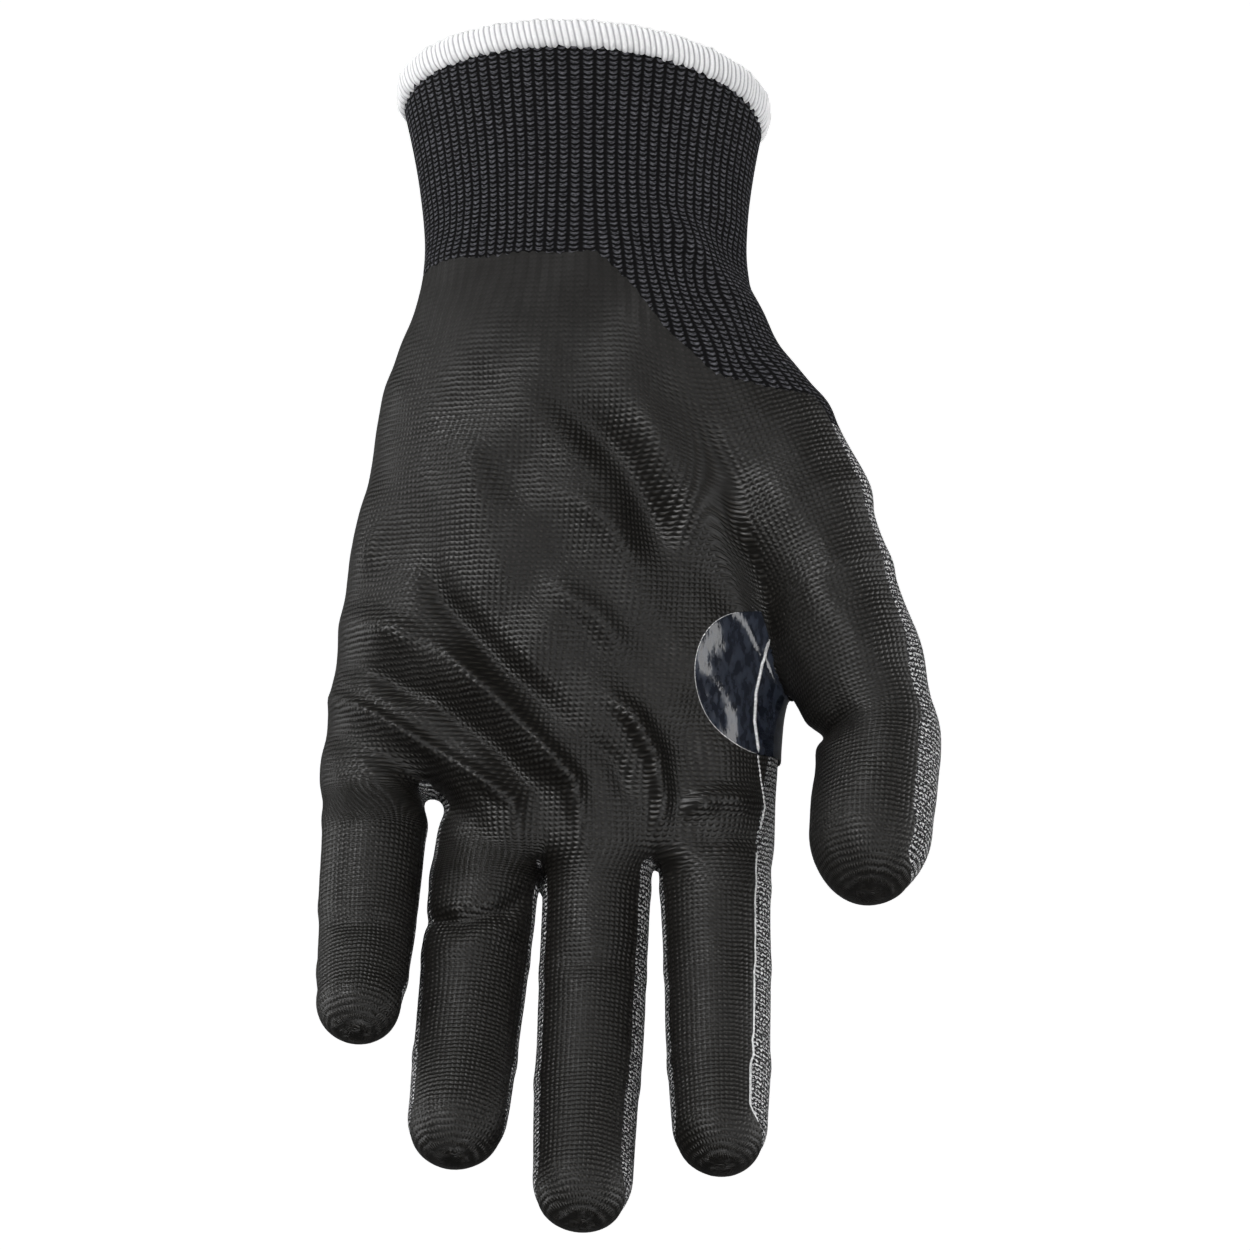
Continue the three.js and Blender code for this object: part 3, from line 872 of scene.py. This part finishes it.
def knit_look():
    look = Look("liner_melange", Roughness=0.85)
    look.shader.inputs["Specular IOR Level"].default_value = 0.2
    height = stitch(look, 0.25)
    fleck = look.noise(1.5, 2.0, (1.0, 1.6, 1.0))
    pale = look.math("MULTIPLY", look.ramp(fleck, 0.44, 0.58), look.ramp(height, 0.05, 0.45))
    look.colour(look.mix(pale, rgb(0.006, 0.006, 0.0065), rgb(0.66, 0.66, 0.67)))
    look.bump(look.math("MULTIPLY_ADD", fleck, 0.3, height), 0.35)
    return look.material


def rib_look():
    look = Look("rib_charcoal", Roughness=0.8)
    look.shader.inputs["Specular IOR Level"].default_value = 0.06
    crest = look.wave(look.u)
    wander = look.math("MULTIPLY", look.noise(0.9, 2.0), 0.7)
    arch = look.math("MULTIPLY_ADD", crest, 0.42, look.v)
    dashes = look.wave(look.math("ADD", arch, wander))
    grain = look.noise(3.2, 3.0)
    dash = look.math("MULTIPLY", look.ramp(crest, 0.04, 0.6), look.ramp(dashes, 0.2, 0.8))
    dash = look.math("MULTIPLY", dash, look.ramp(grain, 0.32, 0.66, 0.15, 1.0))
    look.colour(look.mix(dash, rgb(0.003, 0.003, 0.0032), rgb(0.125, 0.125, 0.14)))
    look.bump(look.math("MULTIPLY_ADD", grain, 0.4, dash), 0.35)
    return look.material


def hem_look():
    look = Look("hem_thread", Roughness=0.75)
    look.shader.inputs["Sheen Weight"].default_value = 0.2
    fibres = look.noise(3.0, 3.0, (1.0, 0.35, 1.0))
    crown = look.ramp(look.wave(look.u), 0.0, 0.45, 0.3, 1.0)
    crown = look.math("MULTIPLY", crown, look.ramp(fibres, 0.2, 0.8, 0.8, 1.0))
    look.colour(look.mix(crown, rgb(0.20, 0.20, 0.21), rgb(0.74, 0.74, 0.75)))
    look.bump(fibres, 0.15, 0.6)
    return look.material


def patch_look():
    """A glossy film, fuller towards its middle and crumpled; here u and v are millimetres."""
    look = Look("patch_gloss", IOR=1.5)
    across = look.math("MULTIPLY", look.u, 1 / PATCH_HALF[0])
    along = look.math("MULTIPLY", look.v, 1 / PATCH_HALF[1])
    outward = look.math("ADD", look.math("POWER", across, 2.0), look.math("POWER", along, 2.0))
    crumple = look.noise(0.16, 3.0, (1.0, 0.6, 1.0))
    crinkle = look.noise(0.7, 3.0, (1.0, 0.45, 1.0))
    # Painted reflection: the colour is lighter and bluer on the crinkles, standing in for the
    # crumpled film's reflection
    painted_reflection_shards = look.ramp(crinkle, 0.4, 0.62)
    look.colour(look.mix(painted_reflection_shards, rgb(0.006, 0.0075, 0.012), rgb(0.019, 0.023, 0.033)))
    look.rough(look.ramp(crinkle, 0.35, 0.65, 0.07, 0.17))
    fullness = look.math("MULTIPLY", outward, -PATCH_FULLNESS)
    folds = look.math("MULTIPLY_ADD", crumple, 0.22, fullness)
    look.bump(look.math("MULTIPLY_ADD", crinkle, 0.1, folds), 1.0)
    return look.material


def seam_highlight_look():
    look = Look("seam_gloss_painted_highlight", Roughness=0.22)
    # Painted highlight: noise lightens the colour from dark grey to near white on the threads,
    # ridges and edge line that use this material; the same noise also drives the bump
    painted_shine_and_bump = look.noise(2.0, 2.0)
    look.colour(look.mix(painted_shine_and_bump, rgb(0.09, 0.095, 0.10), rgb(0.8, 0.8, 0.8)))
    look.bump(painted_shine_and_bump, 0.1, 0.5)
    return look.material


LOOKS = {
    "coating": coating_look(),
    "knit": knit_look(),
    "rib": rib_look(),
    "hem": hem_look(),
    "patch": patch_look(),
    "seam": seam_highlight_look(),
}


def finish_piece(obj, look, nodes):
    obj.data.materials.append(LOOKS[look])
    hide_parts(*nodes)


# Skin, cut into pieces

points, quads = surface_nets(skin_grid())
points, normals = settle(points)
plain_normals = unit_rows(slope_of(plain_skin, points, FACING_STEP))
knit = knit_coordinates(points)
coat = coat_mask(points, plain_normals)
patch = patch_mask(points)


def spans_of(skeleton):
    return THUMB_SPANS if skeleton["name"] == "thumb" else FINGER_SPANS


def fold_frames(skeleton):
    """For each fold, where its bend starts, where it ends, and its direction."""
    directions = skeleton["directions"]
    before = [directions[0]] + directions[:-1]
    frames = []
    for fold, a, b, (up, down) in zip(skeleton["folds"], before, directions, spans_of(skeleton)):
        along = unit(a + b)
        frames.append((fold - along * up, fold + along * down, along))
    return frames


def label_faces(centres):
    """0 for the hand, then a number for each length of each digit."""
    palm, _, digits = distances(centres)
    names = list(digits)
    near = np.stack([digits[n] for n in names], -1)
    nearest = near.argmin(1)
    labels = np.zeros(len(centres), int)
    table = ["hand"]
    for i, name in enumerate(names):
        skeleton = SKELETONS[name]
        start, _, along = fold_frames(skeleton)[0]
        inside = (nearest == i) & ((centres - start) @ along > 0)
        if name == "thumb":
            inside &= near[:, i] < palm
        lengths = [np.linalg.norm(b - a) for a, b in zip(skeleton["folds"], skeleton["folds"][1:])]
        spans = spans_of(skeleton)
        part = np.zeros(len(centres), int)
        for k, size in enumerate(lengths):
            cut = (spans[k][1] + size - spans[k + 1][0]) / 2
            beyond = (centres - skeleton["folds"][k]) @ skeleton["directions"][k] > cut
            part = np.where(beyond, k + 1, part)
        labels = np.where(inside, len(table) + part, labels)
        table += [f"{name}_{p}" for p in skeleton["parts"]]
    return labels, table


labels, pieces = label_faces(points[quads].mean(1))


def film(name, part, top, base, period=None):
    """A closed layer of cloth between two heights over a part of the skin."""
    verts, sides, counts, polygons = shell(*part, top, base)
    return new_object(name, verts, polygons, counts, sides, period)


def edge_highlight(piece, faces):
    """A thin film painted pale as a highlight where the coating ends, down the thumb's side of the
    index finger.
    """
    (v, n, k, m), tris = clipped(points, faces, coat, (normals, knit, coat[:, None]))
    (v, n, k), tris = clipped(v, tris, EDGE_LINE - m[:, 0], (n, k))
    n = unit_rows(n)
    beside = n[tris, 0].mean(1) > EDGE_LINE_FACING
    above_tip = v[tris, 2].mean(1) > SKELETONS["index"]["tip"][2] + EDGE_LINE_STOP
    part = (v, n, k, tris[beside & above_tip])
    top, base = COAT_TOP + EDGE_LINE_HEIGHTS[0], COAT_TOP + EDGE_LINE_HEIGHTS[1]
    obj = film(f"{piece}_coating_edge_highlight", part, top, base, WALE_STEP)
    obj.data.materials.append(LOOKS["seam"])
    return obj


for number, piece in enumerate(pieces):
    own = quads[labels == number]
    liner = film(f"{piece}_liner", (points, normals, knit, own), 0.0, -LINER, WALE_STEP)
    finish_piece(liner, "knit", [f"{piece}_knit"])
    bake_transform(liner)
    (v, n, k), tris = clipped(points, own, coat, (normals, knit))
    part = (v, unit_rows(n), k, tris)
    coated = film(f"{piece}_coating_film", part, COAT_TOP, COAT_BASE, WALE_STEP)
    node = "palm_coating" if piece == "hand" else f"{piece}_coating"
    finish_piece(coated, "coating", [node])
    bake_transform(coated)
    if piece.startswith("index"):
        edge = edge_highlight(piece, own)
        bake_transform(edge)

hand_quads = quads[labels == 0]
(v, n, k), tris = clipped(points, hand_quads, patch, (normals, knit))
v, n, k, polygons = shell(v, unit_rows(n), k, tris, PATCH_TOP, PATCH_BASE)
spots = v[:, [0, 2]] - np.array(PATCH_CENTRE)
patch_piece = new_object("crotch_patch_film", v, polygons, spots, n)
finish_piece(patch_piece, "patch", ["crotch_patch"])
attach(patch_piece, "hand")


# Threads on the patch and below it: real ridges, painted pale as highlights

THREAD_STEP = 0.25
THREAD_SIDES = 10
THREAD_TIP = 0.15
THREAD_BEAD = 0.9


def front_point(x, z):
    """The place on the palm side of the skin at x and z."""
    p = np.array([[x, -30.0, z]])
    for _ in range(40):
        p[:, 1] += np.maximum(skin(p), -2) * 0.8
    return p[0]


def resampled(line, step):
    line = np.array(line, float)
    sizes = np.linalg.norm(np.diff(line, axis=0), axis=1)
    at = np.concatenate([[0], np.cumsum(sizes)])
    where = np.linspace(0, at[-1], max(2, int(at[-1] / step)))
    return np.stack([np.interp(where, at, column) for column in line.T], -1), where


def tube(name, path, lift, radius, beads):
    """A beaded thread that lies on the skin along a path of x and z."""
    flat, along = resampled(path, THREAD_STEP)
    places = np.array([front_point(x, z) for x, z in flat])
    up = unit_rows(slope_of(skin, places))
    side = unit_rows(np.cross(np.gradient(places, axis=0), up))
    angle = np.arange(THREAD_SIDES) * TAU / THREAD_SIDES
    taper = np.minimum(1, np.minimum(along, along[-1] - along) + THREAD_TIP)
    size = radius * taper * (1 + beads * np.cos(TAU * along / THREAD_BEAD))
    rings = (
        (places + up * lift)[:, None]
        + side[:, None] * (np.cos(angle)[None, :, None] * size[:, None, None])
        + up[:, None] * (np.sin(angle)[None, :, None] * size[:, None, None])
    )
    count = len(places)
    index = np.arange(count * THREAD_SIDES).reshape(count, THREAD_SIDES)
    a, b = index[:-1], index[1:]
    walls = np.stack([a, np.roll(a, -1, 1), np.roll(b, -1, 1), b], -1).reshape(-1, 4)
    caps = np.stack([index[0][::-1], index[-1]])
    uv = np.stack([np.tile(angle / TAU, count), np.repeat(along / COURSE, THREAD_SIDES)], -1)
    obj = new_object(name, rings.reshape(-1, 3), [walls, caps], uv)
    # The seam material paints the thread pale as a highlight
    obj.data.materials.append(LOOKS["seam"])
    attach(obj, "hand")


def patch_edge(first, last):
    """Points along the patch's outline between two angles, in x and z."""
    angle = np.radians(np.linspace(first, last, 40))
    z = PATCH_HALF[1] * np.sin(angle)
    x = PATCH_CENTRE[0] + PATCH_HALF[0] * np.cos(angle) - PATCH_LEAN * z
    return np.stack([x, PATCH_CENTRE[1] + z], -1)


tube("patch_bead", patch_edge(100, 262), PATCH_TOP - 0.1, 0.1, 0.1)
tube("patch_seam", SEAM, PATCH_TOP + 0.1, 0.32, 0.05)
tube("palm_seam_tail", SEAM_TAIL, COAT_TOP - 0.05, 0.18, 0.7)


# Rib cuff


def rim_z(angle):
    lean = np.where(np.sin(angle) < 0, RIM_RISE_FRONT, RIM_DROP_BACK) * np.sin(angle)
    return -RIM_DROP_RIGHT * np.cos(angle) - lean - RIM_SAG - RIM_SADDLE * np.cos(2 * angle)


def even_angles(count):
    """Angles that part the rim into equal lengths."""
    angle = np.linspace(0, TAU, 2001)
    x, y = RIM_HALF_WIDTH * np.cos(angle), RIM_HALF_DEPTH * np.sin(angle)
    run = np.concatenate([[0], np.cumsum(np.hypot(np.diff(x), np.diff(y)))])
    return np.interp(np.arange(count) / count * run[-1], run, angle)


def rib_cuff():
    rows, columns = RIB_ROWS, RIBS * RIB_COLUMNS
    turn = np.arange(columns) / columns
    angle = even_angles(columns)
    top = rim_z(angle) - RIB_BELOW_RIM
    end = RIB_END - RIB_DROP * smoothstep(np.cos(angle), 0.1, 0.7)
    share = np.linspace(0, 1, rows)[:, None]
    z = top * (1 - share) + end * share
    angles = np.broadcast_to(angle, z.shape)
    centre, half, front, back, power = section_at(z)
    depth = np.where(np.sin(angles) < 0, front, back)
    c, s = np.cos(angles), np.sin(angles)
    x = centre + half * np.sign(c) * np.abs(c) ** (2 / power)
    y = depth * np.sign(s) * np.abs(s) ** (2 / power)
    p = np.stack([x, y, z], -1).reshape(-1, 3)
    out = unit_rows(p - np.stack([centre, np.zeros_like(z), z], -1).reshape(-1, 3))
    for _ in range(RIB_ROUNDS):
        p = p - skin(p)[:, None] * out
    normal = unit_rows(slope_of(skin, p, RIB_SLOPE_STEP))
    ribs = np.broadcast_to(turn * RIBS, z.shape).reshape(-1)
    courses = p[:, 2] / RIB_COURSE
    facing = unit_rows(slope_of(plain_skin, p, FACING_STEP))
    bare = 1 - smoothstep(coat_mask(p, facing), *RIB_COATED)
    lowest = np.broadcast_to(end, z.shape).reshape(-1)
    fade = bare * smoothstep(p[:, 2], lowest, RIB_END + RIB_FADE)
    crest = 0.5 + 0.5 * np.cos(TAU * ribs)
    lift = fade * (RIB_RELIEF * crest**0.7 + RIB_LIFT[1]) + RIB_LIFT[0]
    outer = p + normal * lift[:, None]
    inner = p - normal * (LINER + RIB_INSET[0] + RIB_INSET[1] * (1 - crest))[:, None]
    index = np.arange(rows * columns).reshape(rows, columns)
    a, b = index[:-1], index[1:]
    walls = np.stack([a, b, np.roll(b, -1, 1), np.roll(a, -1, 1)], -1).reshape(-1, 4)
    n = rows * columns
    first, last = index[0], index[-1]
    top_rim = np.stack([first, np.roll(first, -1), np.roll(first, -1) + n, first + n], -1)
    low_rim = np.stack([last, last + n, np.roll(last, -1) + n, np.roll(last, -1)], -1)
    uv = np.stack([ribs, courses], -1)
    obj = new_object(
        "rib_cuff",
        np.concatenate([outer, inner]),
        [walls, walls[:, ::-1] + n, top_rim, low_rim],
        np.concatenate([uv, uv]),
        period=RIBS,
    )
    finish_piece(obj, "rib", ["cuff_knit"])
    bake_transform(obj)


rib_cuff()


# Overlocked hem

HEM_HEIGHT = 5.6
HEM_OUT = 1.35
HEM_IN = 2.5
HEM_SQUARE = 2.8
HEM_AROUND = 36
WRAPS = 174
WRAP_COLUMNS = 6
WRAP_RELIEF = 0.42
WRAP_SLANT = 0.16
SCALLOPS = 75
SCALLOP = 0.38
CHAIN_RELIEF = 0.32


def overlocked_hem():
    columns, around = WRAPS * WRAP_COLUMNS, HEM_AROUND
    turn = np.arange(columns) / columns
    angle = even_angles(columns)
    q = np.arange(around) / around * TAU
    c, s = np.cos(q), np.sin(q)
    out = np.sign(c) * np.abs(c) ** (2 / HEM_SQUARE) * (HEM_OUT + HEM_IN) / 2
    out = out + (HEM_OUT - HEM_IN) / 2
    up = np.sign(s) * np.abs(s) ** (2 / HEM_SQUARE) * HEM_HEIGHT / 2 - HEM_HEIGHT / 2
    phase = turn[:, None] * WRAPS + WRAP_SLANT * up[None] * np.sign(c)[None]
    thread = np.abs(np.cos(math.pi * phase)) ** 0.7
    lip = np.cos(TAU * turn * SCALLOPS)[:, None]
    low = smoothstep(-up, HEM_HEIGHT - 1.4, HEM_HEIGHT)[None]
    high = smoothstep(up, -0.9, 0)[None]
    uneven = 0.12 * np.sin(turn * TAU * 23) + 0.08 * np.sin(turn * TAU * 57 + 1)
    relief = WRAP_RELIEF * (thread - 0.6) + uneven[:, None]
    chain = high * CHAIN_RELIEF * (0.6 + 0.4 * np.cos(TAU * turn * SCALLOPS + 1)[:, None])
    away = out[None] + relief * c[None] + low * 0.25 * lip * c[None]
    rise = up[None] + relief * s[None] * 0.7 - low * SCALLOP * (0.5 + 0.5 * lip) + chain
    z = rim_z(angle)[:, None] + rise
    centre, half, depth, _, power = section_at(z)
    cosine, sine = np.cos(angle)[:, None], np.sin(angle)[:, None]
    x = centre + (half + away) * np.sign(cosine) * np.abs(cosine) ** (2 / power)
    y = (depth + away) * np.sign(sine) * np.abs(sine) ** (2 / power)
    p = np.stack([x, y, z], -1).reshape(-1, 3)
    index = np.arange(columns * around).reshape(columns, around)
    a, b = index, np.roll(index, -1, 0)
    faces = np.stack([a, b, np.roll(b, -1, 1), np.roll(a, -1, 1)], -1).reshape(-1, 4)
    uv = np.stack([phase.reshape(-1), np.tile(np.arange(around) * 0.5, columns)], -1)
    obj = new_object("overlock_hem", p, [faces], uv, period=WRAPS)
    finish_piece(obj, "hem", ["hem_overlock"])
    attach(obj, "cuff")


overlocked_hem()


# Camera, floor, backdrop and lights

PALE_GLOW = 0.92


def plane(name, corners, look):
    mesh = bpy.data.meshes.new(name)
    mesh.from_pydata(corners, [], [(0, 1, 2, 3)])
    mesh.materials.append(look)
    obj = bpy.data.objects.new(name, mesh)
    bpy.context.scene.collection.objects.link(obj)
    return obj


def pale(name):
    material = bpy.data.materials.new(name)
    material.use_nodes = True
    shader = material.node_tree.nodes["Principled BSDF"]
    shader.inputs["Base Color"].default_value = (0.9, 0.9, 0.9, 1)
    shader.inputs["Roughness"].default_value = 0.9
    shader.inputs["Emission Color"].default_value = (1, 1, 1, 1)
    shader.inputs["Emission Strength"].default_value = PALE_GLOW
    return material


FLOOR_Z = -0.44
ROOM = 5.0
ground = [(-ROOM, -ROOM), (ROOM, -ROOM), (ROOM, ROOM), (-ROOM, ROOM)]
white = pale("backdrop")
room = [plane("floor", [(x, y, FLOOR_Z) for x, y in ground], pale("floor"))]
room.append(plane("backdrop_top", [(x, y, ROOM) for x, y in ground], white))
for number, (a, b) in enumerate(zip(ground, ground[1:] + ground[:1])):
    corners = [(*a, -ROOM), (*b, -ROOM), (*b, ROOM), (*a, ROOM)]
    room.append(plane(f"backdrop_{number}", corners, white))
for side in room:
    side.visible_diffuse = False
    side.visible_glossy = False
    side.visible_shadow = False

camera_data = bpy.data.cameras.new("camera")
camera_data.lens = 141.12
camera_data.sensor_width = 36.0
camera = bpy.data.objects.new("camera", camera_data)
camera.location = (0.0082, -0.97437, -0.34054)
camera.rotation_euler = (math.radians(103), 0, 0)
bpy.context.scene.collection.objects.link(camera)
bpy.context.scene.camera = camera


def area(name, place, target, size, power):
    data = bpy.data.lights.new(name, "AREA")
    data.shape = "RECTANGLE"
    data.size, data.size_y = size
    data.energy = power
    light = bpy.data.objects.new(name, data)
    bpy.context.scene.collection.objects.link(light)
    light.location = place
    direction = np.array(target) - np.array(place)
    light.rotation_euler = Vector(direction).to_track_quat("-Z", "Y").to_euler()


CENTRE = (0.01, -0.01, -0.12)
area("key", (-0.42, -0.62, 0.42), CENTRE, (0.35, 0.35), 7.5)
area("fill", (0.31, -0.80, 0.05), CENTRE, (0.26, 0.5), 2.0)
area("low", (0.08, -0.45, -0.42), (0, 0, -0.2), (0.4, 0.2), 1.6)
area("left_rim", (-0.75, 0.1, -0.05), CENTRE, (0.3, 0.8), 4.5)
area("right_rim", (0.78, 0.05, -0.05), CENTRE, (0.3, 0.8), 5)

world = bpy.data.worlds.new("world")
world.use_nodes = True
world.node_tree.nodes["Background"].inputs[0].default_value = (1, 1, 1, 1)
world.node_tree.nodes["Background"].inputs[1].default_value = 0.10
bpy.context.scene.world = world
bpy.context.scene.view_settings.view_transform = "Standard"
